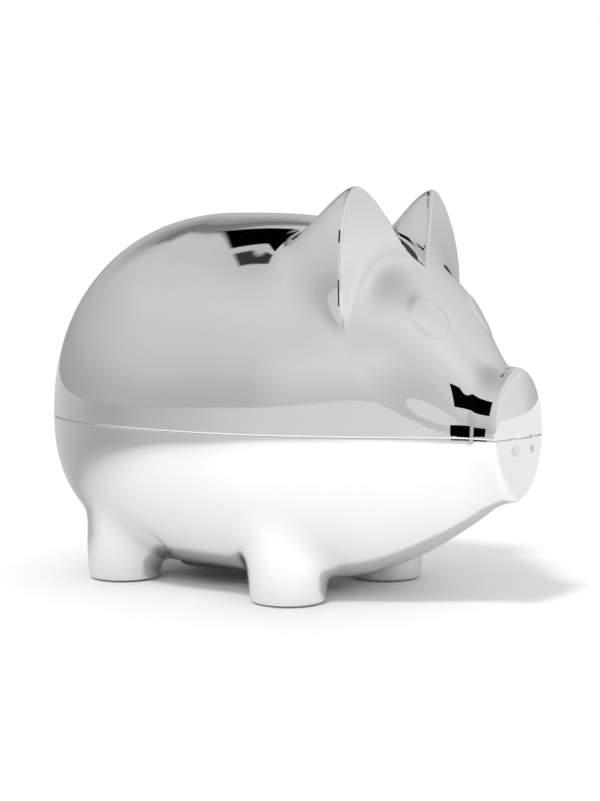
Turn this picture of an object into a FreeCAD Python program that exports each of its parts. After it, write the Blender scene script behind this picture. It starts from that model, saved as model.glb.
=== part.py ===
"""Pig-shaped still bank: two polished cast shells, screwed together, with a belly stopper.

Frame: millimetres, +X towards the snout, +Y to the pig's left, +Z up. The origin is
on the surface the bank stands on, under the middle of its length and width.
"""
import FreeCAD
import Part
import math
import os

Vector = FreeCAD.Vector

# ---- Body ------------------------------------------------------------------------
rear_length = 59.2          # widest section to the rear end
front_length = 85.0         # widest section to the root of the snout
body_half_width = 44.0
seam_height = 45.0          # flat joint between the two shells
back_height = 102.0
belly_height = 3.4
wall = 3.5
seam_step = 0.25            # the lower shell stands in by this much all round

rear_power = 2.15           # squareness of the rear dome, 2 is an ellipse
belly_power = 3.0
belly_taper = 0.13          # how much the flanks lean in towards the belly

# How the front of the body turns into the snout, as shares of the way from the widest
# section to the snout's root: along, width left, back left, belly risen, squareness.
FRONT_SHAPE = [
    (0.00, 1.000, 1.00, 0.00, rear_power),
    (0.20, 0.958, 0.99, 0.00, 2.3),
    (0.39, 0.851, 0.945, 0.01, 2.4),
    (0.55, 0.680, 0.85, 0.11, 2.5),
    (0.69, 0.490, 0.69, 0.31, 2.8),
    (0.81, 0.295, 0.47, 0.55, 3.2),
    (0.91, 0.125, 0.21, 0.77, 3.0),
    (1.00, 0.000, 0.00, 1.00, 2.5),
]
section_count = 15          # sections that the front is lofted through
arc_steps = 14              # spans along each quarter of a section

# ---- Snout, nostrils, ears and eyes -----------------------------------------------
snout_half_width = 11.9
snout_half_height = 17.2
snout_centre_height = 44.6
snout_proud = 7.0           # stands out in front of the body
snout_depth = 12.0
snout_edge = 3.0
snout_inset = 0.9           # the body's end lies this far inside the snout's rim

nostril_spread = 5.9        # from the middle plane
nostril_half_width = 2.3
nostril_half_height = 3.4
nostril_depth = 2.0

ear_tip_height = 107.9
ear_tip_ahead = 52.8        # in front of the widest section
ear_tip_spread = 17.7
ear_height = 45.0           # tip to the ear's root inside the head
ear_turn = 12.0             # degrees that the flat of the ear faces outward
# Down from the tip, the squares of the half width and depth grow by tip * d + flare * d^2.
ear_width_tip = 7.1
ear_width_flare = 0.07
ear_depth_tip = 8.2
ear_depth_flare = 1.3
# The middle of the ear's flat front moves forward and inward on the way down.
ear_forward = 0.30
ear_forward_bend = -0.0039
ear_inward_bend = 0.007

eye_behind_root = 14.0      # behind the root of the snout
eye_below_crown = 2.44506   # below the head's top at that place
eye_half_length = 6.2
eye_half_width = 4.6
eye_half_thickness = 3.0
eye_proud = 0.7
eye_tilt = 25.0             # degrees

# ---- Legs and pads ----------------------------------------------------------------
leg_ahead = 34.1            # front pair, in front of the widest section
leg_behind = 24.1           # rear pair, behind it
leg_spread = 22.4
foot_radius = 9.85
foot_edge = 1.0
leg_root_radius = 13.5
leg_root_height = 27.0
leg_root_inward = 4.5       # the root leans towards the middle of the body

pad_radius = 6.5
pad_thickness = 1.8
pad_recess = 1.4
pad_clearance = 0.1

# ---- Coin slot and belly stopper --------------------------------------------------
slot_length = 34.0
slot_width = 4.4
slot_behind = 1.0           # middle of the slot, behind the widest section

stopper_behind = 1.0
stopper_hole_radius = 14.0
stopper_clearance = 0.1
stopper_flange_radius = 16.5
stopper_flange_thickness = 2.2
stopper_plug_height = 6.0
stopper_plug_wall = 1.6
stopper_rib_length = 15.0
stopper_rib_width = 2.4
stopper_rib_height = 0.9
seat_recess = 0.8           # the flange lies this far inside the belly
seat_ring_radius = 19.0
seat_ring_rise = 3.0        # above the inner face of the belly

# ---- Screws, washers and pillars --------------------------------------------------
front_screw_ahead = 32.0
rear_screw_behind = 32.0
screw_radius = 2.0
screw_clearance = 0.3       # in the lower boss
thread_clearance = 0.05     # in the upper pillar
screw_head_radius = 3.6
screw_head_height = 2.6
screw_slot_width = 1.0
screw_slot_depth = 1.2
thread_length = 12.0
washer_inner_radius = 2.15
washer_outer_radius = 3.7
washer_thickness = 1.0
washer_gap = 0.8
head_recess = 5.5           # screw head seat above the belly's outer face
head_hole_radius = 4.3
boss_radius = 6.5
pillar_radius = 5.5
pillar_joint_height = 30.0

# ---- Locating lip -----------------------------------------------------------------
lip_height = 2.0
lip_root = 1.5
lip_clearance = 0.15
lip_inset = 0.4             # the lip stands in from the wall's inner face
cavity_reach = front_length - 2 * wall

# ---- Places worked out from the sizes above ---------------------------------------
widest_x = (rear_length - front_length - snout_proud) / 2
root_x = widest_x + front_length
snout_x = root_x + snout_proud
root_half_width = snout_half_width - snout_inset
root_top = snout_centre_height + snout_half_height - snout_inset
root_bottom = snout_centre_height - snout_half_height + snout_inset
foot_height = pad_thickness - pad_recess
eye_ahead = front_length - eye_behind_root
beyond = 2 * (rear_length + front_length)   # blocks of this size reach past the whole bank


# ---- Body surface -----------------------------------------------------------------
def clamped_spline(knots, values):
    """Cubic spline that starts level and ends without curvature."""
    spans = [b - a for a, b in zip(knots, knots[1:])]
    steps = [(b - a) / h for a, b, h in zip(values, values[1:], spans)]
    count = len(knots)
    above, right = [0.5], [3 * steps[0] / spans[0]]
    for i in range(1, count - 1):
        pivot = 2 * (spans[i - 1] + spans[i]) - spans[i - 1] * above[-1]
        rest = 6 * (steps[i] - steps[i - 1]) - spans[i - 1] * right[-1]
        above.append(spans[i] / pivot)
        right.append(rest / pivot)
    bends = [0.0] * count
    for i in range(count - 2, -1, -1):
        bends[i] = right[i] - above[i] * bends[i + 1]

    def value(at):
        i = max(0, min(count - 2, sum(1 for k in knots[1:-1] if at > k)))
        h = spans[i]
        s = at - knots[i]
        slope = steps[i] - h * (2 * bends[i] + bends[i + 1]) / 6
        return values[i] + s * (slope + s * (bends[i] / 2 + s * (bends[i + 1] - bends[i]) / (6 * h)))

    return value


along, width_left, back_left, belly_risen, squareness = zip(*FRONT_SHAPE)
width_share = clamped_spline(along, width_left)
back_share = clamped_spline(along, back_left)
belly_share = clamped_spline(along, belly_risen)
front_power = clamped_spline(along, squareness)


def section_sizes(ahead, upper, inset):
    """Half width, height and squareness of one half section, ahead of the widest one."""
    share = max(0.0, ahead) / front_length
    half = root_half_width + (body_half_width - root_half_width) * width_share(share)
    if upper:
        height = root_top + (back_height - root_top) * back_share(share) - seam_height
        return half - inset, height - inset, front_power(share), 0.0
    height = seam_height - belly_height - (root_bottom - belly_height) * belly_share(share)
    return half - inset, height - inset, belly_power, belly_taper


def quarter_edge(ahead, upper, inset, side):
    """A quarter of a section, from the seam to the middle plane."""
    half, height, power, taper = section_sizes(ahead, upper, inset)
    x = widest_x + ahead
    way = 1 if upper else -1
    points = []
    for i in range(arc_steps + 1):
        turn = math.pi / 2 * i / arc_steps
        level = math.sin(turn) ** (2 / power)
        out = max(0.0, math.cos(turn)) ** (2 / power) if i < arc_steps else 0.0
        points.append(Vector(x, side * half * out * (1 - taper * level), seam_height + way * height * level))
    lean = -side * half * taper / height
    curve = Part.BSplineCurve()
    curve.interpolate(
        Points=points,
        InitialTangent=Vector(0, lean, way).normalize(),
        FinalTangent=Vector(0, -side, 0),
    )
    return curve.toShape()


def rear_half(upper, inset):
    """Rear quarter-dome: half a turn of the widest section, stretched lengthwise."""
    edge = quarter_edge(0, upper, inset, 1)
    foot = edge.Vertexes[0].Point
    crown = edge.Vertexes[-1].Point
    centre = Vector(widest_x, 0, seam_height)
    outline = Part.Wire([edge, Part.makeLine(crown, centre), Part.makeLine(centre, foot)])
    dome = Part.Face(outline).revolve(centre, Vector(0, 0, 1), 180)
    stretch = (rear_length - inset) / (body_half_width - inset)
    matrix = FreeCAD.Matrix()
    matrix.A11 = stretch
    matrix.A14 = widest_x * (1 - stretch)
    return dome.transformGeometry(matrix)


def front_half(upper, inset, reach):
    """Front of the body, lofted from the widest section to the given reach."""
    wires = []
    for i in range(section_count):
        ahead = reach * i / (section_count - 1)
        left = quarter_edge(ahead, upper, inset, 1)
        right = quarter_edge(ahead, upper, inset, -1)
        base = Part.makeLine(right.Vertexes[0].Point, left.Vertexes[0].Point)
        wires.append(Part.Wire(Part.__sortEdges__([left, right, base])))
    return Part.makeLoft(wires, True, False)


def body_half(upper, inset=0.0, reach=front_length):
    return rear_half(upper, inset).fuse(front_half(upper, inset, reach))


def height_at(x, upper):
    """Height of the body's skin in the middle plane."""
    ahead = x - widest_x
    half, height, power, taper = section_sizes(ahead, upper, 0.0)
    back = max(0.0, -ahead) / rear_length
    level = height * (1 - back ** power) ** (1 / power)
    return seam_height + level if upper else seam_height - level


def skin_half_width(ahead, z):
    """Half width of the upper body at a height, ahead of the widest section."""
    half, height, power, taper = section_sizes(ahead, True, 0.0)
    level = (z - seam_height) / height
    return half * (1 - level ** power) ** (1 / power)


def seam_prism(inset, low, high, reach):
    """Upright block whose outline is the body's outline at the seam, moved in."""
    side = []
    for i in range(section_count):
        ahead = reach * i / (section_count - 1)
        half = section_sizes(ahead, True, inset)[0]
        side.append(Vector(widest_x + ahead, half, low))
    left = Part.BSplineCurve()
    left.interpolate(side)
    mirrored = [Vector(p.x, -p.y, p.z) for p in side]
    right = Part.BSplineCurve()
    right.interpolate(mirrored)
    rear = Part.Ellipse(Vector(widest_x, 0, low), rear_length - inset, body_half_width - inset)
    arc = Part.ArcOfEllipse(rear, math.pi / 2, 3 * math.pi / 2)
    nose = Part.makeLine(side[-1], mirrored[-1])
    edges = [left.toShape(), right.toShape(), arc.toShape(), nose]
    outline = Part.Wire(Part.__sortEdges__(edges))
    return Part.Face(outline).extrude(Vector(0, 0, high - low))


# ---- Forms that are added to the body ---------------------------------------------
def stretched_ball(radii, place, turn=None):
    """Ellipsoid with the given half lengths, turned, then moved to its place."""
    matrix = FreeCAD.Matrix()
    matrix.scale(Vector(*radii))
    ball = Part.makeSphere(1.0).transformGeometry(matrix)
    if turn is not None:
        ball.Placement = FreeCAD.Placement(Vector(0, 0, 0), turn)
    ball.translate(Vector(*place))
    return ball


def snout():
    """Upright oval disc with a rounded front edge."""
    oval = Part.Ellipse(Vector(0, 0, 0), snout_half_height, snout_half_width)
    face = Part.Face(Part.Wire([oval.toShape()]))
    disc = face.extrude(Vector(0, 0, snout_depth))
    front = [e for e in disc.Edges if e.BoundBox.ZMin > snout_depth - 0.01]
    disc = disc.makeFillet(snout_edge, front)
    disc.rotate(Vector(0, 0, 0), Vector(0, 1, 0), 90)
    disc.translate(Vector(snout_x - snout_depth, 0, snout_centre_height))
    return disc


def nostrils():
    cuts = []
    for side in (1, -1):
        radii = (nostril_depth, nostril_half_width, nostril_half_height)
        cuts.append(stretched_ball(radii, (snout_x, side * nostril_spread, snout_centre_height)))
    return cuts[0].fuse(cuts[1])


EAR_LEVELS = 10
EAR_STEPS = 10
EAR_TIP_SHARE = 0.015


def ear_section(side, down):
    """Level cut through the ear: a half oval behind the straight front edge."""
    half = math.sqrt(down * (ear_width_tip + ear_width_flare * down))
    depth = math.sqrt(down * (ear_depth_tip + ear_depth_flare * down))
    turn = math.radians(ear_turn)
    outward = Vector(-math.sin(turn), side * math.cos(turn), 0)
    backward = Vector(-math.cos(turn), side * math.sin(turn), 0)
    ahead = ear_tip_ahead + down * (ear_forward + ear_forward_bend * down)
    spread = ear_tip_spread - ear_inward_bend * down ** 2
    middle = Vector(widest_x + ahead, side * spread, ear_tip_height - down)
    points = []
    for i in range(EAR_STEPS + 1):
        round_back = math.pi * i / EAR_STEPS
        across = outward * half * math.cos(round_back)
        points.append(middle + across + backward * depth * math.sin(round_back))
    curve = Part.BSplineCurve()
    curve.interpolate(Points=points, InitialTangent=backward, FinalTangent=backward * -1)
    return Part.Wire([curve.toShape(), Part.makeLine(points[-1], points[0])])


def ear(side):
    """Rounded cone behind a flat front that is turned outward."""
    sections = []
    for i in range(EAR_LEVELS + 1):
        share = max(EAR_TIP_SHARE, i / EAR_LEVELS)
        sections.append(ear_section(side, ear_height * share ** 2))
    cone = Part.makeLoft(sections, True, False)
    return cone if cone.Volume > 0 else cone.reversed()


def eye(side):
    """Low oval pad that lies on the forehead."""
    step = eye_half_width / 10
    eye_height = height_at(widest_x + eye_ahead, True) - eye_below_crown
    spread = skin_half_width(eye_ahead, eye_height)
    slope_x = (skin_half_width(eye_ahead + step, eye_height) - spread) / step
    slope_z = (skin_half_width(eye_ahead, eye_height + step) - spread) / step
    normal = Vector(-slope_x, side, -slope_z).normalize()
    place = Vector(widest_x + eye_ahead, side * spread, eye_height)
    place += normal * (eye_proud - eye_half_thickness)
    uphill = Vector(0, 0, 1) - normal * normal.z
    facing = FreeCAD.Rotation(normal, uphill.cross(normal), uphill, "XZY")
    tilt = FreeCAD.Rotation(Vector(1, 0, 0), -side * eye_tilt)
    radii = (eye_half_thickness, eye_half_width, eye_half_length)
    return stretched_ball(radii, place, facing * tilt)


LEG_SHARES = (0.0, 0.3, 0.65, 1.0)
LEG_PLACES = {
    "front_left": (leg_ahead, leg_spread),
    "front_right": (leg_ahead, -leg_spread),
    "rear_left": (-leg_behind, leg_spread),
    "rear_right": (-leg_behind, -leg_spread),
}


def upright(radius, low, high, x, y=0.0):
    return Part.makeCylinder(radius, high - low, Vector(x, y, low))


def leg(ahead, y):
    """Stub leg that widens upward, and leans towards the middle of the body."""
    lean = Vector(-math.copysign(leg_root_inward, ahead), -math.copysign(leg_root_inward, y), 0)
    rings = []
    for share in LEG_SHARES:
        z = foot_height + (leg_root_height - foot_height) * share
        radius = foot_radius + (leg_root_radius - foot_radius) * share
        place = Vector(widest_x + ahead, y, z) + lean * share ** 2
        rings.append(Part.Wire([Part.makeCircle(radius, place)]))
    stub = Part.makeLoft(rings, True, False)
    sole = [e for e in stub.Edges if e.BoundBox.ZMax < foot_height + foot_edge / 2]
    return stub.makeFillet(foot_edge, sole)


# ---- Fastening and openings -------------------------------------------------------
SCREW_PLACES = {
    "front": widest_x + front_screw_ahead,
    "rear": widest_x - rear_screw_behind,
}
stopper_x = widest_x - stopper_behind
slot_x = widest_x - slot_behind


def head_seat(x):
    return height_at(x, False) + head_recess


def flange_low():
    return height_at(stopper_x, False) + seat_recess


def coin_slot():
    """Slot with round ends, along the back."""
    radius = slot_width / 2
    run = slot_length - slot_width
    low = back_height - 3 * wall
    high = back_height + wall
    slot = Part.makeBox(run, slot_width, high - low, Vector(slot_x - run / 2, -radius, low))
    for end in (-1, 1):
        slot = slot.fuse(upright(radius, low, high, slot_x + end * run / 2))
    return slot


# ---- The pieces -------------------------------------------------------------------
def upper_shell():
    shell = body_half(True)
    above = Part.makeBox(beyond, beyond, beyond, Vector(-beyond / 2, -beyond / 2, seam_height))
    shell = shell.fuse(snout().common(above))
    for side in (1, -1):
        shell = shell.fuse(ear(side))
        shell = shell.fuse(eye(side))
    shell = shell.cut(body_half(True, wall, cavity_reach))
    core = body_half(True, wall / 2)
    for x in SCREW_PLACES.values():
        shell = shell.fuse(upright(pillar_radius, seam_height, back_height, x).common(core))
        shell = shell.fuse(upright(pillar_radius, pillar_joint_height, seam_height, x))
        tip = pillar_joint_height + thread_length + screw_radius
        shell = shell.cut(upright(screw_radius + thread_clearance, pillar_joint_height - 1, tip, x))
    shell = shell.cut(coin_slot())
    shell = shell.cut(nostrils())
    high = seam_height + lip_height + lip_clearance
    outer = seam_prism(wall / 2, seam_height - 1, high, cavity_reach)
    inner = seam_prism(wall + 2 * lip_inset, seam_height - 2, high + 1, cavity_reach + 1)
    return shell.cut(outer.cut(inner))


def lower_shell():
    shell = body_half(False, seam_step)
    below = Part.makeBox(beyond, beyond, seam_height, Vector(-beyond / 2, -beyond / 2, 0))
    shell = shell.fuse(snout().common(below))
    for ahead, y in LEG_PLACES.values():
        shell = shell.fuse(leg(ahead, y))
    shell = shell.cut(body_half(False, wall, cavity_reach))
    core = body_half(False, wall / 2)
    inner_floor = height_at(stopper_x, False) + wall
    ring = upright(seat_ring_radius, 0, inner_floor + seat_ring_rise, stopper_x)
    shell = shell.fuse(ring.common(core))
    hole = upright(stopper_hole_radius, 0, seam_height - 1, stopper_x)
    seat_high = flange_low() + stopper_flange_thickness
    seat = upright(stopper_flange_radius + stopper_clearance, 0, seat_high, stopper_x)
    shell = shell.cut(hole).cut(seat)
    for x in SCREW_PLACES.values():
        shell = shell.fuse(upright(boss_radius, 0, pillar_joint_height, x).common(core))
        shell = shell.cut(upright(head_hole_radius, 0, head_seat(x), x))
        shell = shell.cut(upright(screw_radius + screw_clearance, 0, pillar_joint_height + 1, x))
    for ahead, y in LEG_PLACES.values():
        pocket = upright(pad_radius + pad_clearance, 0, pad_thickness, widest_x + ahead, y)
        shell = shell.cut(pocket)
    shell = shell.cut(nostrils())
    low = seam_height - lip_root
    high = seam_height + lip_height
    reach = cavity_reach - lip_clearance
    outer = seam_prism(wall / 2 + lip_clearance, low, high, reach)
    inner = seam_prism(wall + lip_inset, low - 1, high + 1, reach + 1)
    return shell.fuse(outer.cut(inner))


def screw(x):
    """Slotted cheese-head screw, driven from below."""
    seat = head_seat(x) - washer_thickness
    low = seat - screw_head_height
    head = upright(screw_head_radius, low, seat, x)
    shank = upright(screw_radius, seat, pillar_joint_height + thread_length, x)
    corner = Vector(x - screw_head_radius - 1, -screw_slot_width / 2, low - 1)
    slot = Part.makeBox(2 * screw_head_radius + 2, screw_slot_width, screw_slot_depth + 1, corner)
    return head.fuse(shank).cut(slot)


def washer(x):
    """Split ring under the screw's head."""
    high = head_seat(x)
    low = high - washer_thickness
    ring = upright(washer_outer_radius, low, high, x).cut(upright(washer_inner_radius, low - 1, high + 1, x))
    corner = Vector(x, -washer_gap / 2, low - 1)
    gap = Part.makeBox(washer_outer_radius + 1, washer_gap, washer_thickness + 2, corner)
    return ring.cut(gap)


def coin_stopper():
    """Soft plug: a flange under the belly, a hollow plug in the hole, and a pull rib."""
    low = flange_low()
    shoulder = low + stopper_flange_thickness
    top = shoulder + stopper_plug_height
    plug_radius = stopper_hole_radius - stopper_clearance
    stopper = upright(stopper_flange_radius, low, shoulder, stopper_x)
    stopper = stopper.fuse(upright(plug_radius, shoulder, top, stopper_x))
    hollow = upright(plug_radius - stopper_plug_wall, shoulder, top + 1, stopper_x)
    corner = Vector(
        stopper_x - stopper_rib_length / 2, -stopper_rib_width / 2, low - stopper_rib_height
    )
    rib = Part.makeBox(stopper_rib_length, stopper_rib_width, stopper_rib_height, corner)
    return stopper.cut(hollow).fuse(rib)


def foot_pad(ahead, y):
    return upright(pad_radius, 0, pad_thickness, widest_x + ahead, y)


def pieces():
    made = {"upper_shell": upper_shell(), "lower_shell": lower_shell(), "coin_stopper": coin_stopper()}
    for name, x in SCREW_PLACES.items():
        made[name + "_screw"] = screw(x)
        made[name + "_washer"] = washer(x)
    for name, (ahead, y) in LEG_PLACES.items():
        made[name + "_foot_pad"] = foot_pad(ahead, y)
    return made


os.makedirs("parts", exist_ok=True)
for node, shape in pieces().items():
    print(node, len(shape.Solids), "solid(s)", shape.isValid(), round(shape.Volume / 1000, 2), "cm3")
    shape.exportStep("parts/" + node + ".step")
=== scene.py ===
"""Looks of the pig-shaped still bank: mirror-polished cast shells on a pale floor."""
import math

import bmesh
import bpy
import numpy as np
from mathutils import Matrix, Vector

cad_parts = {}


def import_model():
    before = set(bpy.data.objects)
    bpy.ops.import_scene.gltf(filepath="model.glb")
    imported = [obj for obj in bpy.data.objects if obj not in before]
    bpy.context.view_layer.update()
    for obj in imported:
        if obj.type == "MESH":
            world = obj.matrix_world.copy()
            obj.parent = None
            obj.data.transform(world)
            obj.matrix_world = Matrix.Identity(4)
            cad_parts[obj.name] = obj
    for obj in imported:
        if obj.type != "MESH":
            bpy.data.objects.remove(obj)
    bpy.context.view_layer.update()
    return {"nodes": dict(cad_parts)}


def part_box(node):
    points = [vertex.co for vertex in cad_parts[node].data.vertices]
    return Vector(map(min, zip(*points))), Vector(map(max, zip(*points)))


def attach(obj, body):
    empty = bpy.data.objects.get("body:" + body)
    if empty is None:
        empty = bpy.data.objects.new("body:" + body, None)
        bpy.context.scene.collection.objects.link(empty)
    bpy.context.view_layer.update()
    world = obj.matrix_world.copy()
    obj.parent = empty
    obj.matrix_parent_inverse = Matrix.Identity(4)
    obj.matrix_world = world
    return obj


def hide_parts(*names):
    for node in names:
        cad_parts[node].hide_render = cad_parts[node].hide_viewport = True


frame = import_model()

import openvdb
from mathutils import Matrix, Vector

MM = 0.001


def box_mm(node):
    """The two corners of a node's box, in millimetres."""
    low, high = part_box(node)
    return np.array(low) / MM, np.array(high) / MM


# ---- Sizes, in millimetres, from the frame and the casting's own shape --------------
upper_low, upper_high = box_mm("upper_shell")
lower_low, lower_high = box_mm("lower_shell")
stopper_low, stopper_high = box_mm("coin_stopper")

lip_height = 2.0            # the lower shell's lip stands this far above the joint
seam_height = lower_high[2] - lip_height
rear_length = 59.2
front_length = 85.0
snout_proud = 7.0
rear_x = upper_low[0]
widest_x = rear_x + rear_length
root_x = widest_x + front_length
snout_x = root_x + snout_proud
body_half_width = 44.0
back_height = 102.0
belly_height = 3.4
foot_height = lower_low[2]
wall = 3.5
seam_gap = 0.10
nose_cap, nose_edge = 1.5, 1.0      # the body's front end reaches this far into the snout
foot_edge = 0.3

rear_power = 2.15
belly_power = 2.9
belly_taper = 0.22
root_half_width = 11.0
root_top = 60.9
root_bottom = 28.3
# From the widest section to the root of the snout: share of the way, shares left of the
# width and of the back's height, share of the belly's rise, and squareness
FRONT_SHAPE = np.array([
    (0.00, 1.000, 1.00, 0.00, rear_power),
    (0.20, 0.958, 0.99, 0.00, 2.3),
    (0.39, 0.851, 0.945, 0.01, 2.4),
    (0.55, 0.680, 0.85, 0.11, 2.5),
    (0.69, 0.490, 0.69, 0.31, 2.8),
    (0.81, 0.295, 0.47, 0.55, 3.2),
    (0.91, 0.125, 0.21, 0.77, 3.0),
    (1.00, 0.000, 0.00, 1.00, 2.5),
])

# Width, depth and forward lean are each given at the tip and per millimetre below it
ear = dict(
    tip=(widest_x + 52.8, 17.7, upper_high[2]), turn=12.0, edge=1.3, blend=5.0,
    width=(7.1, 0.07), depth=(13.5, 1.6), forward=(0.30, -0.0039), inward_bend=0.007,
    fuller_inside=0.33, fade_down=14.0, reach=(-3.0, 48.0), low=60.0, low_blend=14.0,
)
snout = dict(back=7.5, back_edge=1.5, half_width=11.9, half_height=17.0, z=45.5, crown=2.0, edge=2.0,
             blend=5.4)
nostril = dict(y=4.8, z=43.8, radii=(1.0, 2.3, 3.2), edge=0.8)
# Soft crease from the foot of the ear round the cheek to the snout: an arc in side view.
crease = dict(ahead=88.4, z=80.7, radius=36.0, soft=3.2, face=0.25, jowl=0.08, fade=11.0,
              low=34.0, low_fade=6.0, high=84.0, high_fade=12.0, behind=30.0, behind_fade=18.0)
eye = dict(ahead=71.0, z=75.2, half_length=6.2, half_width=4.6, proud=0.5, tilt=25.0, edge=0.5)
legs = dict(front=34.1, rear=-24.1, y=22.4, radius=9.85, root_radius=12.8, root=27.0, inward=4.5,
            height=22.0, top_edge=6.0, edge=1.0, blend=6.0, inward_sideways=0.3)

pillar_radius, boss_radius, pillar_joint = 5.5, 6.5, 30.0
slot = dict(length=34.0, width=4.4, behind=1.0, ease=0.5, sides=24)
# Radii and depths of the holes that are sunk into the lower shell
flange_seat = dict(radius=16.6, depth=3.1)
plug_hole = dict(radius=14.0, top=25.0)
screw_hole = dict(head=4.3, shank=2.3)
pad_seat = dict(radius=6.6, top=1.8)
screw_x = [float(sum(box_mm(n)[i][0] for i in (0, 1)) / 2) for n in ("front_screw", "rear_screw")]


# ---- Implicit surface of the casting ------------------------------------------------
def clamped_spline(knots, values):
    """Cubic spline that starts level and ends without curvature."""
    count = len(knots)
    h = np.diff(knots)
    steps = np.diff(values) / h
    a = np.zeros((count, count))
    b = np.zeros(count)
    a[0, :2] = 2 * h[0], h[0]
    b[0] = 6 * steps[0]
    for i in range(1, count - 1):
        a[i, i - 1:i + 2] = h[i - 1], 2 * (h[i - 1] + h[i]), h[i]
        b[i] = 6 * (steps[i] - steps[i - 1])
    a[-1, -1] = 1
    bends = np.linalg.solve(a, b)

    def value(at):
        i = np.clip(np.searchsorted(knots, at) - 1, 0, count - 2)
        s = at - knots[i]
        slope = steps[i] - h[i] * (2 * bends[i] + bends[i + 1]) / 6
        return values[i] + s * (slope + s * (bends[i] / 2 + s * (bends[i + 1] - bends[i]) / (6 * h[i])))

    return value


width_share, back_share, belly_share, front_power = (
    clamped_spline(FRONT_SHAPE[:, 0], FRONT_SHAPE[:, i]) for i in (1, 2, 3, 4)
)


def smooth_min(a, b, reach):
    """The lesser of two fields, with a fillet where they cross."""
    near = np.maximum(reach - np.abs(a - b), 0) / reach
    return np.minimum(a, b) - near ** 3 * reach / 6


def smooth_max(a, b, reach):
    """The greater of two fields, with an eased edge where they cross."""
    return -smooth_min(-a, -b, reach)


def ellipsoid(x, y, z, place, radii):
    """Below nought inside an ellipsoid."""
    g = np.sqrt(sum(((p - c) / r) ** 2 for p, c, r in zip((x, y, z), place, radii)))
    return (g - 1) * min(radii)


def body_field(x, y, z, inset=0.0):
    """Below nought inside the body: an egg in plan, squarer towards the belly."""
    share = np.clip((x - widest_x) / front_length, 0, 1.05)
    half = root_half_width + (body_half_width - root_half_width) * width_share(share) - inset
    top = root_top + (back_height - root_top) * back_share(share) - seam_height - inset
    low = seam_height - belly_height - (root_bottom - belly_height) * belly_share(share) - inset
    upper = z >= seam_height
    power = np.where(upper, front_power(np.minimum(share, 1)), belly_power)
    height = np.where(upper, top, low)
    level = np.abs(z - seam_height) / height
    width = half * np.where(upper, 1, 1 - belly_taper * np.clip(level, 0, 1.2) ** 2)
    back = np.maximum((widest_x - x) / (rear_length - inset), 0)
    back = back / np.where(upper, 1, 1 - belly_taper / 2 * np.clip(level, 0, 1.2) ** 2)
    plan = back ** 2 + (y / width) ** 2
    g = (plan ** (power / 2) + level ** power) ** (1 / power)
    return (g - 1) * np.sqrt(half * height)


def ear_field(x, y, z):
    """Rounded cone that opens downward, cut by the flat front of the ear."""
    tip_x, tip_y, tip_z = ear["tip"]
    down = np.clip(tip_z - z, *ear["reach"])
    dx = x - tip_x - down * (ear["forward"][0] + ear["forward"][1] * down)
    dy = y - tip_y + ear["inward_bend"] * down ** 2
    turn = math.radians(ear["turn"])
    front = dx * math.cos(turn) + dy * math.sin(turn)
    back = -front / math.cos(2 * turn)
    side = dy * math.cos(turn) - dx * math.sin(turn) - back * math.sin(2 * turn)
    wide, deep = (sizes[0] + sizes[1] * np.maximum(down, 0) for sizes in (ear["width"], ear["depth"]))
    side = side + ear["fuller_inside"] * back * np.exp(-np.maximum(down, 0) / ear["fade_down"])
    bowl = side ** 2 / wide + back ** 2 / deep - (tip_z - z)
    steep = np.sqrt((2 * side / wide) ** 2 + (2 * back / deep) ** 2 + 1)
    cone = smooth_max(bowl / steep, front, ear["edge"])
    return smooth_max(cone, ear["low"] - z, ear["low_blend"])


def snout_field(x, y, z):
    """Upright oval disc, slightly crowned in front."""
    g = np.sqrt((y / snout["half_width"]) ** 2 + ((z - snout["z"]) / snout["half_height"]) ** 2)
    side = (g - 1) * snout["half_width"]
    face = x - (snout_x - snout["crown"] * g ** 2)
    disc = smooth_max(side, face, snout["edge"])
    return smooth_max(disc, snout_x - snout["back"] - x, snout["back_edge"])


def leg_field(x, y, z):
    """Stub legs that widen upward and lean towards the middle of the body."""
    share = np.clip(z / legs["root"], 0, 1.2)
    lean = legs["inward"] * share ** 2
    front = x - widest_x - legs["front"] + lean
    rear = x - widest_x - legs["rear"] - lean
    lengthways = np.where(x > widest_x + (legs["front"] + legs["rear"]) / 2, front, rear)
    radius = legs["radius"] + (legs["root_radius"] - legs["radius"]) * share
    aside = y - legs["y"] + legs["inward_sideways"] * lean
    d = np.sqrt(lengthways ** 2 + aside ** 2) - radius
    d = smooth_max(d, foot_height - z, legs["edge"])
    return smooth_max(d, z - legs["height"], legs["top_edge"])


def skin_spread(ahead, z):
    """Half width of the upper body at a height."""
    share = np.array([ahead / front_length])
    half = root_half_width + (body_half_width - root_half_width) * width_share(share)[0]
    top = root_top + (back_height - root_top) * back_share(share)[0] - seam_height
    power = front_power(share)[0]
    return half * (1 - ((z - seam_height) / top) ** power) ** (1 / power)


def eye_axes():
    """Centre, and the two directions along the eye's oval."""
    half = skin_spread(eye["ahead"], eye["z"])
    slope_x = skin_spread(eye["ahead"] + 0.5, eye["z"]) - half
    slope_z = skin_spread(eye["ahead"], eye["z"] + 0.5) - half
    normal = Vector((-2 * slope_x, 1, -2 * slope_z)).normalized()
    centre = Vector((widest_x + eye["ahead"], half, eye["z"]))
    uphill = (Vector((0, 0, 1)) - normal * normal.z).normalized()
    uphill.rotate(Matrix.Rotation(math.radians(-eye["tilt"]), 3, normal))
    return centre, uphill, normal.cross(uphill)


EYE_CENTRE, EYE_LONG, EYE_SHORT = eye_axes()


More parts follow.
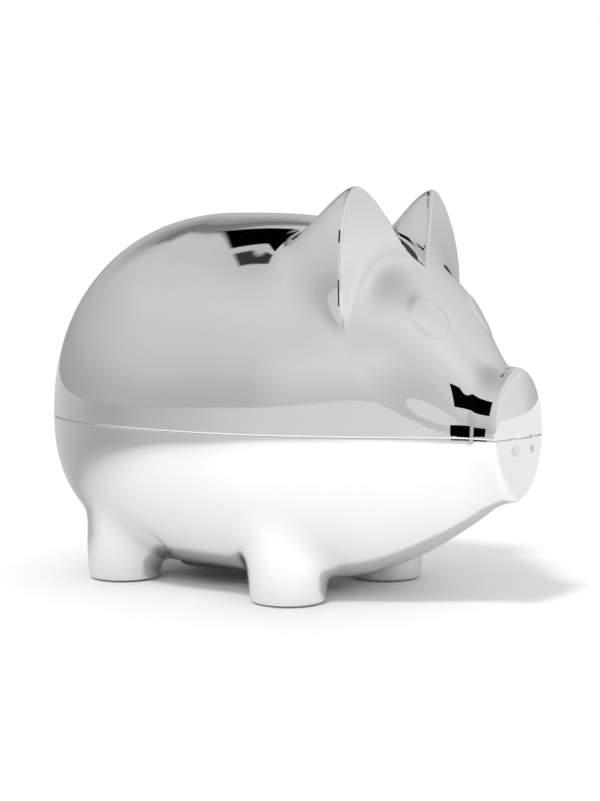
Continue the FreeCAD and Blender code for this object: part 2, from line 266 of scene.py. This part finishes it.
def with_eye(skin, x, y, z):
    """Raises a low oval pad with soft edges on the skin."""
    d = [x - EYE_CENTRE.x, y - EYE_CENTRE.y, z - EYE_CENTRE.z]
    a = sum(c * u for c, u in zip(d, EYE_LONG)) / eye["half_length"]
    b = sum(c * u for c, u in zip(d, EYE_SHORT)) / eye["half_width"]
    inward = np.clip((1 + eye["edge"] / 2 - np.sqrt(a * a + b * b)) / eye["edge"], 0, 1)
    near = np.clip(2 - sum(c * c for c in d) / eye["half_length"] ** 2 / 2, 0, 1)
    rise = inward ** 3 * (10 - 15 * inward + 6 * inward ** 2)
    return skin - eye["proud"] * rise * near


def with_crease(skin, x, z):
    """Lowers the face and swells the jowl on either side of a curved line."""
    away = np.sqrt((x - widest_x - crease["ahead"]) ** 2 + (z - crease["z"]) ** 2) - crease["radius"]
    side = np.tanh(away / crease["soft"])
    depth = np.where(side > 0, crease["jowl"], crease["face"])
    near = np.exp(-(away / crease["fade"]) ** 2)
    low = np.clip((z - crease["low"]) / crease["low_fade"], 0, 1)
    high = np.clip((crease["high"] - z) / crease["high_fade"], 0, 1)
    behind = np.clip((x - widest_x - crease["behind"]) / crease["behind_fade"], 0, 1)
    return skin - depth * side * near * low * high * behind


def outer_field(x, y, z):
    """The casting's whole outer skin, mirrored about the middle plane."""
    y = np.abs(y)
    d = smooth_max(body_field(x, y, z), x - root_x - nose_cap, nose_edge)
    d = with_crease(d, x, z)
    d = smooth_min(d, snout_field(x, y, z), snout["blend"])
    d = smooth_min(d, ear_field(x, y, z), ear["blend"])
    d = smooth_min(d, leg_field(x, y, z), legs["blend"])
    d = with_eye(d, x, y, z)
    hollow = ellipsoid(x, y, z, (snout_x, nostril["y"], nostril["z"]), nostril["radii"])
    d = smooth_max(d, -hollow, nostril["edge"])
    return smooth_max(d, foot_height - z, foot_edge)


def cavity_field(x, y, z):
    """The hollow inside, less the screws' pillars and bosses."""
    d = np.maximum(body_field(x, y, z, wall), x - root_x + 2 * wall)
    for place in screw_x:
        radius = np.where(z > pillar_joint, pillar_radius, boss_radius)
        d = np.maximum(d, radius - np.sqrt((x - place) ** 2 + y ** 2))
    return d


def shell_field(x, y, z):
    """Below nought inside the metal."""
    return np.maximum(outer_field(x, y, z), -cavity_field(x, y, z))


def gradient(field, points, step=0.02):
    """Slope of a field at each point, by small steps along the axes."""
    slopes = []
    for axis in range(3):
        ends = []
        for way in (1, -1):
            moved = points.copy()
            moved[:, axis] += way * step
            ends.append(field(*moved.T))
        slopes.append((ends[0] - ends[1]) / (2 * step))
    return np.stack(slopes, 1)


def meshed(field, low, high, pitch):
    """Quad mesh of the field's zero surface, its points moved exactly onto the surface."""
    counts = [int(math.ceil((b - a) / pitch)) + 1 for a, b in zip(low, high)]
    x = low[0] + pitch * np.arange(counts[0])
    y = low[1] + pitch * np.arange(counts[1])
    z = low[2] + pitch * np.arange(counts[2])
    values = np.empty(counts, np.float32)
    for i in range(0, counts[0], 16):
        gx, gy, gz = np.meshgrid(x[i:i + 16], y, z, indexing="ij")
        values[i:i + 16] = field(gx, gy, gz)
    grid = openvdb.FloatGrid(float(pitch))
    grid.copyFromArray(np.clip(values, -4 * pitch, 4 * pitch) / pitch)
    points, quads = grid.convertToQuads(isovalue=0.0)
    points = points.astype(float) * pitch + np.array(low)
    for _ in range(5):
        d = field(*points.T)
        g = gradient(field, points)
        step = g * (d / np.maximum((g * g).sum(1), 0.05))[:, None]
        points -= np.clip(step, -pitch / 2, pitch / 2)
    return points, quads[:, ::-1]


# ---- Mesh helpers -------------------------------------------------------------------
def new_object(name, points, faces):
    """An object from points in millimetres."""
    mesh = bpy.data.meshes.new(name)
    mesh.from_pydata((np.asarray(points) * MM).tolist(), [], [list(f) for f in faces])
    mesh.validate()
    made = bpy.data.objects.new(name, mesh)
    bpy.context.scene.collection.objects.link(made)
    return made


def ring_faces(rings, sides):
    """Faces between rings of points, with both ends closed."""
    faces = []
    for ring in range(rings - 1):
        for i in range(sides):
            j = (i + 1) % sides
            a, b = ring * sides, (ring + 1) * sides
            faces.append((a + i, a + j, b + j, b + i))
    faces.append(tuple(range(sides))[::-1])
    faces.append(tuple((rings - 1) * sides + i for i in range(sides)))
    return faces


def turned(name, profile, sides, place=(0.0, 0.0)):
    """Closed solid of revolution about an upright axis, from (radius, height) points."""
    points = []
    for r, h in profile:
        for i in range(sides):
            a = 2 * math.pi * i / sides
            points.append((place[0] + r * math.cos(a), place[1] + r * math.sin(a), h))
    return new_object(name, points, ring_faces(len(profile), sides))


def cut_half(source, name, height, keep_above):
    """The part of a closed mesh above or below a level, with a flat cap."""
    made = source.copy()
    made.data = source.data.copy()
    made.name = name
    made.data.name = name
    bpy.context.scene.collection.objects.link(made)
    bm = bmesh.new()
    bm.from_mesh(made.data)
    cut = bmesh.ops.bisect_plane(
        bm, geom=bm.verts[:] + bm.edges[:] + bm.faces[:], dist=1e-8,
        plane_co=(0, 0, height * MM), plane_no=(0, 0, -1 if keep_above else 1), clear_outer=True,
    )
    rim = [e for e in cut["geom_cut"] if isinstance(e, bmesh.types.BMEdge)]
    bmesh.ops.triangle_fill(bm, edges=rim, use_beauty=True, normal=(0, 0, -1 if keep_above else 1))
    bmesh.ops.recalc_face_normals(bm, faces=bm.faces[:])
    bm.to_mesh(made.data)
    bm.free()
    return made


def subtract(target, cutters):
    """Cuts closed meshes out of another one and removes them."""
    for cutter in cutters:
        change = target.modifiers.new("cut", "BOOLEAN")
        change.operation = "DIFFERENCE"
        change.solver = "EXACT"
        change.object = cutter
    graph = bpy.context.evaluated_depsgraph_get()
    mesh = bpy.data.meshes.new_from_object(target.evaluated_get(graph))
    target.modifiers.clear()
    target.data = mesh
    for cutter in cutters:
        bpy.data.objects.remove(cutter)


def set_normals(target, field, limit=0.12):
    """Exact surface normals on the smooth skin, flat ones on cut faces."""
    mesh = target.data
    count = len(mesh.polygons)
    centres = np.empty(count * 3)
    mesh.polygons.foreach_get("center", centres)
    centres = centres.reshape(-1, 3) / MM
    flat = np.empty(count * 3)
    mesh.polygons.foreach_get("normal", flat)
    flat = flat.reshape(-1, 3)
    slope = gradient(field, centres)
    slope /= np.maximum(np.linalg.norm(slope, axis=1), 1e-9)[:, None]
    on_skin = (np.abs(field(*centres.T)) < limit) & ((slope * flat).sum(1) > 0.9)
    spots = np.empty(len(mesh.vertices) * 3)
    mesh.vertices.foreach_get("co", spots)
    exact = gradient(field, spots.reshape(-1, 3) / MM)
    exact /= np.maximum(np.linalg.norm(exact, axis=1), 1e-9)[:, None]
    totals = np.empty(count, int)
    mesh.polygons.foreach_get("loop_total", totals)
    corners = np.empty(len(mesh.loops), int)
    mesh.loops.foreach_get("vertex_index", corners)
    owner = np.repeat(np.arange(count), totals)
    normals = np.where(on_skin[owner][:, None], exact[corners], flat[owner])
    mesh.polygons.foreach_set("use_smooth", np.ones(count, bool))
    mesh.normals_split_custom_set(normals.tolist())


# ---- Materials ----------------------------------------------------------------------
def shader(name):
    """A new material, its nodes, and its main shader."""
    made = bpy.data.materials.new(name)
    made.use_nodes = True
    return made, made.node_tree, made.node_tree.nodes["Principled BSDF"]


def add(tree, kind, settings=None, **inputs):
    """A node with its inputs set to values or linked to sockets."""
    node = tree.nodes.new(kind)
    for key, value in (settings or {}).items():
        setattr(node, key, value)
    for key, value in inputs.items():
        socket = node.inputs[key.replace("_", " ")]
        if isinstance(value, bpy.types.NodeSocket):
            tree.links.new(value, socket)
        else:
            socket.default_value = value
    return node


def spread(tree, source, low, high, to_low, to_high):
    """Maps one range of values onto another, held at its ends."""
    node = add(tree, "ShaderNodeMapRange")
    tree.links.new(source, node.inputs[0])
    for i, value in enumerate((low, high, to_low, to_high)):
        node.inputs[i + 1].default_value = value
    return node.outputs[0]


def chrome():
    """Polished plating over a casting: a mirror with faint waves and wipe marks."""
    made, tree, bsdf = shader("polished_casting")
    spot = add(tree, "ShaderNodeTexCoord").outputs["Object"]
    wipe = add(tree, "ShaderNodeTexNoise", Vector=spot, Scale=90.0, Detail=6.0, Roughness=0.65)
    tree.links.new(spread(tree, wipe.outputs[0], 0.3, 0.75, 0.015, 0.05), bsdf.inputs["Roughness"])
    waves = add(tree, "ShaderNodeTexNoise", Vector=spot, Scale=38.0, Detail=1.5)
    bump = add(tree, "ShaderNodeBump", Height=waves.outputs[0], Strength=0.05, Distance=0.0004)
    level = add(tree, "ShaderNodeMath", {"operation": "SUBTRACT"})
    tree.links.new(add(tree, "ShaderNodeSeparateXYZ", Vector=spot).outputs["Z"], level.inputs[0])
    level.inputs[1].default_value = seam_height * MM
    away = add(tree, "ShaderNodeMath", {"operation": "ABSOLUTE"})
    tree.links.new(level.outputs[0], away.inputs[0])
    eased = spread(tree, away.outputs[0], 0.00005, 0.00035, 0.0, 1.0)
    edge = add(tree, "ShaderNodeBump", Height=eased, Normal=bump.outputs[0], Strength=1.0, Distance=0.0001)
    tree.links.new(edge.outputs[0], bsdf.inputs["Normal"])
    bsdf.inputs["Metallic"].default_value = 1.0
    bsdf.inputs["Base Color"].default_value = (0.94, 0.94, 0.945, 1)
    return made


def raw_casting():
    """Dark, grainy metal as it left the mould, inside the shells."""
    made, tree, bsdf = shader("raw_casting")
    spot = add(tree, "ShaderNodeTexCoord").outputs["Object"]
    grain = add(tree, "ShaderNodeTexNoise", Vector=spot, Scale=900.0, Detail=4.0)
    tint = add(tree, "ShaderNodeMixRGB", Color1=(0.05, 0.05, 0.052, 1), Color2=(0.14, 0.14, 0.14, 1))
    tree.links.new(grain.outputs[0], tint.inputs["Fac"])
    tree.links.new(tint.outputs[0], bsdf.inputs["Base Color"])
    bump = add(tree, "ShaderNodeBump", Height=grain.outputs[0], Strength=0.5, Distance=0.0003)
    tree.links.new(bump.outputs[0], bsdf.inputs["Normal"])
    bsdf.inputs["Metallic"].default_value = 0.6
    bsdf.inputs["Roughness"].default_value = 0.65
    return made


def turned_steel(name, color, rough):
    """Turned steel with a fine grain and a little tarnish."""
    made, tree, bsdf = shader(name)
    spot = add(tree, "ShaderNodeTexCoord").outputs["Object"]
    blotch = add(tree, "ShaderNodeTexNoise", Vector=spot, Scale=400.0, Detail=5.0)
    tint = add(tree, "ShaderNodeMixRGB", Color1=(*[c * 0.7 for c in color], 1), Color2=(*color, 1))
    tree.links.new(blotch.outputs[0], tint.inputs["Fac"])
    tree.links.new(tint.outputs[0], bsdf.inputs["Base Color"])
    worn = spread(tree, blotch.outputs[0], 0.3, 0.7, rough * 0.8, rough * 1.3)
    tree.links.new(worn, bsdf.inputs["Roughness"])
    fine = add(tree, "ShaderNodeTexNoise", Vector=spot, Scale=3000.0, Detail=2.0)
    bump = add(tree, "ShaderNodeBump", Height=fine.outputs[0], Strength=0.25, Distance=0.00005)
    tree.links.new(bump.outputs[0], bsdf.inputs["Normal"])
    bsdf.inputs["Metallic"].default_value = 1.0
    return made


def rubber(name, color, scale):
    """Moulded rubber with a fine grain and paler flecks."""
    made, tree, bsdf = shader(name)
    spot = add(tree, "ShaderNodeTexCoord").outputs["Object"]
    grain = add(tree, "ShaderNodeTexNoise", Vector=spot, Scale=scale, Detail=4.0)
    tint = add(tree, "ShaderNodeMixRGB", Color1=(*color, 1), Color2=(*[c * 2.0 + 0.01 for c in color], 1))
    tree.links.new(grain.outputs[0], tint.inputs["Fac"])
    tree.links.new(tint.outputs[0], bsdf.inputs["Base Color"])
    tree.links.new(spread(tree, grain.outputs[0], 0.3, 0.7, 0.55, 0.75), bsdf.inputs["Roughness"])
    bump = add(tree, "ShaderNodeBump", Height=grain.outputs[0], Strength=0.35, Distance=0.0001)
    tree.links.new(bump.outputs[0], bsdf.inputs["Normal"])
    return made


CHROME = chrome()
RAW = raw_casting()
SCREW_STEEL = turned_steel("zinc_steel", (0.62, 0.62, 0.6), 0.32)
WASHER_STEEL = turned_steel("spring_steel", (0.3, 0.3, 0.31), 0.4)
STOPPER_RUBBER = rubber("stopper_rubber", (0.03, 0.03, 0.032), 2500.0)
PAD_RUBBER = rubber("pad_rubber", (0.05, 0.05, 0.05), 4000.0)


# ---- Shells -------------------------------------------------------------------------
def slot_cutter():
    """Round-ended coin slot along the back, with eased edges."""
    length, width, ease, sides = slot["length"], slot["width"], slot["ease"], slot["sides"]
    x = widest_x - slot["behind"]
    rings = [
        (0.0, back_height - 3 * wall), (0.0, back_height - ease),
        (0.12 * ease, back_height - 0.45 * ease), (ease, back_height + 0.1), (4 * ease, back_height + 2.0),
    ]
    points = []
    for grow, z in rings:
        for i in range(sides):
            a = 2 * math.pi * (i + 0.5) / sides
            end = (length - width) / 2 * (1 if math.cos(a) > 0 else -1)
            radius = width / 2 + grow
            points.append((x + end + radius * math.cos(a), radius * math.sin(a), z))
    return new_object("slot_cutter", points, ring_faces(len(rings), sides))


def upright_hole(radius, top, sides, place, upper_radius=None, upper_top=None):
    """Upright cutter that starts below the feet, with a narrower upper part if asked for."""
    below_floor = -1.0
    profile = [(radius, below_floor), (radius, top)]
    if upper_radius is not None:
        profile += [(upper_radius, top + 0.01), (upper_radius, upper_top)]
    return turned("hole", profile, sides, place)


def lower_holes():
    """Cutters for the stopper, the two screws and the four foot pads."""
    stopper_place = ((stopper_low[0] + stopper_high[0]) / 2, 0.0)
    flange_top = stopper_low[2] + flange_seat["depth"]
    plug = (plug_hole["radius"], plug_hole["top"])
    shank = (screw_hole["shank"], pillar_joint + 1)
    holes = [upright_hole(flange_seat["radius"], flange_top, 96, stopper_place, *plug)]
    for x, node in zip(screw_x, ("front_washer", "rear_washer")):
        seat = box_mm(node)[1][2]
        holes.append(upright_hole(screw_hole["head"], seat, 48, (x, 0), *shank))
    for ahead in (legs["front"], legs["rear"]):
        for y in (legs["y"], -legs["y"]):
            place = (widest_x + ahead, y)
            holes.append(upright_hole(pad_seat["radius"], pad_seat["top"], 64, place))
    return holes


def shells():
    """One mesh of the whole casting, cut at the joint into its two halves."""
    margin = 2.0
    low = np.array([rear_x - margin, -upper_high[1] - margin, foot_height - margin])
    high = np.array([snout_x + margin, upper_high[1] + margin, upper_high[2] + margin])
    pitch = 0.7
    points, quads = meshed(shell_field, low, high, pitch)
    whole = new_object("casting", points, quads)
    upper = cut_half(whole, "upper_shell_skin", seam_height + seam_gap / 2, True)
    lower = cut_half(whole, "lower_shell_skin", seam_height - seam_gap / 2, False)
    bpy.data.objects.remove(whole)
    subtract(upper, [slot_cutter()])
    subtract(lower, lower_holes())
    for shell, node in ((upper, "upper_shell"), (lower, "lower_shell")):
        dress_shell(shell, node)


def dress_shell(shell, node):
    """Mirror finish outside and raw metal inside, in place of the node's plain solid."""
    skin_depth = 0.3
    shell.data.materials.clear()
    shell.data.materials.append(CHROME)
    shell.data.materials.append(RAW)
    set_normals(shell, shell_field)
    count = len(shell.data.polygons)
    centres = np.empty(count * 3)
    shell.data.polygons.foreach_get("center", centres)
    inside = np.abs(outer_field(*(centres.reshape(-1, 3) / MM).T)) > skin_depth
    shell.data.polygons.foreach_set("material_index", inside.astype(int))
    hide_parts(node)
    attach(shell, "bank")


shells()


# ---- Carried-over nodes -------------------------------------------------------------
def finish_nodes():
    """Steel and rubber on the nodes that are shown as they were built."""
    finishes = {
        "front_screw": SCREW_STEEL, "rear_screw": SCREW_STEEL,
        "front_washer": WASHER_STEEL, "rear_washer": WASHER_STEEL, "coin_stopper": STOPPER_RUBBER,
    }
    for end in ("front", "rear"):
        for side in ("left", "right"):
            finishes[end + "_" + side + "_foot_pad"] = PAD_RUBBER
    for node, finish in finishes.items():
        target = frame["nodes"][node]
        for place in target.material_slots:
            place.material = finish


finish_nodes()


# ---- Studio -------------------------------------------------------------------------
def grey_ramp(tree, source, low, high, stops):
    """Greys by value: stops are (value, grey) between low and high."""
    ramp = add(tree, "ShaderNodeValToRGB")
    tree.links.new(spread(tree, source, low, high, 0.0, 1.0), ramp.inputs[0])
    places = [(value - low) / (high - low) for value, _ in stops]
    ramp.color_ramp.elements[0].position = places[0]
    ramp.color_ramp.elements[1].position = places[-1]
    for place in places[1:-1]:
        ramp.color_ramp.elements.new(place)
    for element, (_, grey) in zip(ramp.color_ramp.elements, stops):
        element.color = (grey, grey, grey, 1)
    return ramp.outputs[0]


def times(tree, a, b):
    """Product of two greys or colours."""
    product = add(tree, "ShaderNodeVectorMath", {"operation": "MULTIPLY"})
    tree.links.new(a, product.inputs[0])
    tree.links.new(b, product.inputs[1])
    return product.outputs[0]


def part_along(tree, way, direction):
    """How far one direction reaches along another."""
    dot = add(tree, "ShaderNodeVectorMath", {"operation": "DOT_PRODUCT"}, Vector=way)
    dot.inputs[1].default_value = direction
    return dot.outputs["Value"]


def mixed(tree, share, first, second):
    """Shader between two others; share is 0 for the first one."""
    node = add(tree, "ShaderNodeMixShader")
    for socket, source in zip(node.inputs, (share, first, second)):
        tree.links.new(source, socket)
    return node.outputs[0]


# Painted light and shade on the floor, seen only in the mirror: greys by distance from a painted bright
# place in front of the pig, in metres, and by direction from the pig, 1 towards the painted bright side
# and -1 away from it
PAINTED_LIGHT_CENTRE = (0.12, -0.15, 0)
PAINTED_POOL_GREYS = [(0.13, 1.0), (0.2, 0.86), (0.24, 0.66), (0.275, 0.43), (0.35, 0.32), (0.6, 0.27)]
PAINTED_SIDE_GREYS = [(-1.0, 0.35), (-0.94, 0.41), (-0.7, 0.52), (-0.34, 0.58), (0.1, 0.60), (0.5, 0.78)]
PAINTED_LIGHT_SIDE = math.radians(30)
SHEET = 3.0                 # half the floor's side, in metres
FADE_TO_WHITE = (0.22, 0.45)    # where the camera sees the sheet turn plain white, in metres


def floor():
    """White sheet; in the mirror it shows a painted pool of light in front of the pig's snout and painted
    shade, greyer away from there.
    """
    corners = np.array([(-1, -1, 0), (1, -1, 0), (1, 1, 0), (-1, 1, 0)])
    made = new_object("floor", corners * SHEET / MM, [(0, 1, 2, 3)])
    paint, tree, bsdf = shader("white_floor")
    spot = add(tree, "ShaderNodeNewGeometry").outputs["Position"]
    grain = add(tree, "ShaderNodeTexNoise", Scale=6.0, Detail=3.0)
    paper = add(tree, "ShaderNodeMixRGB", Color1=(0.96, 0.96, 0.96, 1), Color2=(0.98, 0.98, 0.98, 1))
    tree.links.new(grain.outputs[0], paper.inputs["Fac"])
    # Painted light and shade: a bright pool in front of the pig and greyer floor away from it, for the
    # mirror only
    from_painted_light = add(tree, "ShaderNodeVectorMath", {"operation": "DISTANCE"}, Vector=spot)
    from_painted_light.inputs[1].default_value = PAINTED_LIGHT_CENTRE
    painted_pool = grey_ramp(tree, from_painted_light.outputs["Value"], 0.0, 0.6, PAINTED_POOL_GREYS)
    outward = add(tree, "ShaderNodeVectorMath", {"operation": "NORMALIZE"}, Vector=spot).outputs["Vector"]
    toward_painted_light = part_along(tree, outward, (math.cos(PAINTED_LIGHT_SIDE), math.sin(PAINTED_LIGHT_SIDE), 0))
    painted_side_shade = grey_ramp(tree, toward_painted_light, -1.0, 1.0, PAINTED_SIDE_GREYS)
    colours = dict(Fac=1.0, Color1=painted_pool, Color2=painted_side_shade)
    painted_light_and_shade = add(tree, "ShaderNodeMixRGB", {"blend_type": "LIGHTEN"}, **colours)
    path = add(tree, "ShaderNodeLightPath")
    # Glossy rays see the sheet with the painted light and shade; all other rays see the plain sheet
    seen = add(tree, "ShaderNodeMixRGB", Color1=paper.outputs[0])
    tree.links.new(times(tree, paper.outputs[0], painted_light_and_shade.outputs[0]), seen.inputs["Color2"])
    tree.links.new(path.outputs["Is Glossy Ray"], seen.inputs["Fac"])
    tree.links.new(seen.outputs[0], bsdf.inputs["Base Color"])
    bsdf.inputs["Roughness"].default_value = 1.0
    bsdf.inputs["Specular IOR Level"].default_value = 0.0
    away = add(tree, "ShaderNodeVectorMath", {"operation": "LENGTH"}, Vector=spot)
    far = spread(tree, away.outputs["Value"], *FADE_TO_WHITE, 0.0, 1.0)
    backdrop = add(tree, "ShaderNodeMath", {"operation": "MULTIPLY"})
    tree.links.new(far, backdrop.inputs[0])
    tree.links.new(path.outputs["Is Camera Ray"], backdrop.inputs[1])
    white = add(tree, "ShaderNodeEmission", Color=(1, 1, 1, 1), Strength=1.0)
    surface = mixed(tree, backdrop.outputs[0], bsdf.outputs[0], white.outputs[0])
    tree.links.new(surface, tree.nodes["Material Output"].inputs["Surface"])
    made.data.materials.append(paint)


# What the mirror shows of the studio: azimuth, elevation, half width, half height and turn
# in degrees, blur, and how much it takes away from the room's light (below nought it adds)
CARDS = [
    (155.0, 54.0, 12.0, 7.0, 42.0, 0.012, 1.0),
    (-158.0, 60.0, 7.0, 3.0, 0.0, 0.015, 0.93),
    (142.0, 38.0, 14.0, 4.0, 0.0, 0.02, 0.5),
    (142.0, 32.0, 16.0, 8.0, 0.0, 0.12, 0.5),
    (25.0, 0.0, 45.0, 12.0, 0.0, 0.20, -0.55),
    (25.0, 50.0, 45.0, 20.0, 0.0, 0.20, -0.10),
    (-70.0, 5.0, 15.0, 8.0, 0.0, 0.12, -0.22),
]
# Grey of the room by elevation, and its gain by direction, 1 towards the window
ROOM = [(-3.0, 0.44), (5.0, 0.48), (10.0, 0.55), (17.0, 0.585), (25.0, 0.61), (35.0, 0.645), (46.0, 0.615),
        (65.0, 0.50), (90.0, 0.45)]
WINDOW = math.radians(-20)
TO_THE_WINDOW = [(-1.0, 0.80), (-0.77, 0.90), (-0.5, 0.97), (0.0, 1.0), (1.0, 1.1)]
SECOND_MIRRORING = 0.12     # light that is left where the pig mirrors itself


# Small black cards near the casting, by its snout and by the front edge of the near ear, that put painted
# dark reflections there in place of mirrored shade:
# ahead of the widest section, y, z, half width, half height. Only the mirror sees them.
DARK_REFLECTION_CARDS = [
    (83.6, -18.0, 57.0, 1.6, 3.7),
    (82.8, -18.0, 46.9, 2.1, 1.5),
    (55.3, -37.8, 80.8, 2.0, 4.2),
    (54.3, -35.4, 100.6, 3.5, 2.7),
]


def dark_reflection_cards():
    """The small cards for painted dark reflections, which the camera doesn't see and which cast no shadow.
    """
    paint, _, bsdf = shader("painted_reflection_black")
    bsdf.inputs["Base Color"].default_value = (0.002, 0.002, 0.002, 1)
    bsdf.inputs["Roughness"].default_value = 1.0
    bsdf.inputs["Specular IOR Level"].default_value = 0.0
    for number, (ahead, y, z, half_width, half_height) in enumerate(DARK_REFLECTION_CARDS):
        corners = [(-1, -1), (1, -1), (1, 1), (-1, 1)]
        points = [(widest_x + ahead + a * half_width, y, z + b * half_height) for a, b in corners]
        made = new_object("flag_%d" % number, np.array(points), [(0, 1, 2, 3)])
        made.data.materials.append(paint)
        made.visible_camera = False
        made.visible_diffuse = False
        made.visible_shadow = False


def card_mask(tree, way, azimuth, elevation, half_width, half_height, turn, blur, depth):
    """1 where the studio is open, less inside an upright card seen in that direction."""
    a, e, t = math.radians(azimuth), math.radians(elevation), math.radians(turn)
    out = Vector((math.cos(a) * math.cos(e), math.sin(a) * math.cos(e), math.sin(e)))
    across = Vector((-math.sin(a), math.cos(a), 0))
    upward = out.cross(across)
    right = across * math.cos(t) + upward * math.sin(t)
    top = upward * math.cos(t) - across * math.sin(t)
    masks = []
    for axis, half in ((right, half_width), (top, half_height)):
        reach = math.sin(math.radians(half))
        size = add(tree, "ShaderNodeMath", {"operation": "ABSOLUTE"})
        tree.links.new(part_along(tree, way, axis), size.inputs[0])
        masks.append(spread(tree, size.outputs[0], reach - blur, reach + blur, 1.0, 0.0))
    masks.append(spread(tree, part_along(tree, way, out), 0.0, 0.01, 0.0, 1.0))
    both = masks[0]
    for mask in masks[1:]:
        product = add(tree, "ShaderNodeMath", {"operation": "MULTIPLY"})
        tree.links.new(both, product.inputs[0])
        tree.links.new(mask, product.inputs[1])
        both = product.outputs[0]
    return spread(tree, both, 0.0, 1.0, 1.0, 1.0 - depth)


def world():
    """Soft grey room that only the mirror sees; white to the camera and to the floor."""
    made = bpy.data.worlds.new("studio")
    bpy.context.scene.world = made
    made.use_nodes = True
    tree = made.node_tree
    tree.nodes.clear()
    path = add(tree, "ShaderNodeLightPath")
    way = add(tree, "ShaderNodeTexCoord").outputs["Generated"]
    up = add(tree, "ShaderNodeSeparateXYZ", Vector=way).outputs["Z"]
    room = grey_ramp(tree, up, -1.0, 1.0, [(math.sin(math.radians(e)), grey) for e, grey in ROOM])
    window = part_along(tree, way, (math.cos(WINDOW), math.sin(WINDOW), 0))
    brighter = add(tree, "ShaderNodeFloatCurve")
    tree.links.new(spread(tree, window, -1.0, 1.0, 0.0, 1.0), brighter.inputs["Value"])
    curve = brighter.mapping.curves[0]
    brighter.mapping.clip_max_y = 2.0
    brighter.mapping.use_clip = False
    for _ in TO_THE_WINDOW[2:]:
        curve.points.new(0.5, 1.0)
    for point, (value, gain) in zip(curve.points, TO_THE_WINDOW):
        point.location = ((value + 1) / 2, gain)
    brighter.mapping.update()
    room = times(tree, room, brighter.outputs[0])
    for card in CARDS:
        room = times(tree, room, card_mask(tree, way, *card))
    # The room is met at depth 2 after one mirroring and at depth 3 after two
    once = spread(tree, path.outputs["Ray Depth"], 2.2, 2.8, 1.0, SECOND_MIRRORING)
    room = times(tree, room, once)
    mirror = add(tree, "ShaderNodeBackground", Strength=1.0)
    tree.links.new(room, mirror.inputs["Color"])
    soft = add(tree, "ShaderNodeBackground", Color=(0.85, 0.85, 0.85, 1), Strength=1.0)
    white = add(tree, "ShaderNodeBackground", Color=(1, 1, 1, 1), Strength=1.0)
    lit = mixed(tree, path.outputs["Is Glossy Ray"], soft.outputs[0], mirror.outputs[0])
    seen = mixed(tree, path.outputs["Is Camera Ray"], lit, white.outputs[0])
    out = add(tree, "ShaderNodeOutputWorld")
    tree.links.new(seen, out.inputs[0])


def sun(azimuth, elevation, blur, strength):
    """Soft key light that the mirror doesn't show."""
    data = bpy.data.lights.new("key", "SUN")
    data.angle = math.radians(blur)
    data.energy = strength
    made = bpy.data.objects.new("key", data)
    a, e = math.radians(azimuth), math.radians(elevation)
    toward = Vector((math.cos(a) * math.cos(e), math.sin(a) * math.cos(e), math.sin(e)))
    made.rotation_euler = toward.to_track_quat("Z", "Y").to_euler()
    made.visible_glossy = False
    bpy.context.scene.collection.objects.link(made)


VIEW = dict(place=(0.3004, -0.38678, 0.09275), turn=37.42, tilt=4.95, lens=80.2, sensor=36.0)


def camera():
    """Level with the pig's back, from its right front."""
    turn, tilt = math.radians(VIEW["turn"]), math.radians(VIEW["tilt"])
    data = bpy.data.cameras.new("camera")
    data.sensor_width = VIEW["sensor"]
    data.lens = VIEW["lens"]
    data.clip_start = 0.01
    made = bpy.data.objects.new("camera", data)
    bpy.context.scene.collection.objects.link(made)
    made.location = VIEW["place"]
    ahead = Vector((-math.sin(turn) * math.cos(tilt), math.cos(turn) * math.cos(tilt), -math.sin(tilt)))
    made.rotation_euler = ahead.to_track_quat("-Z", "Y").to_euler()
    bpy.context.scene.camera = made


floor()
dark_reflection_cards()
world()
sun(azimuth=-80.0, elevation=56.0, blur=9.0, strength=1.15)
camera()
bpy.context.scene.view_settings.view_transform = "Standard"
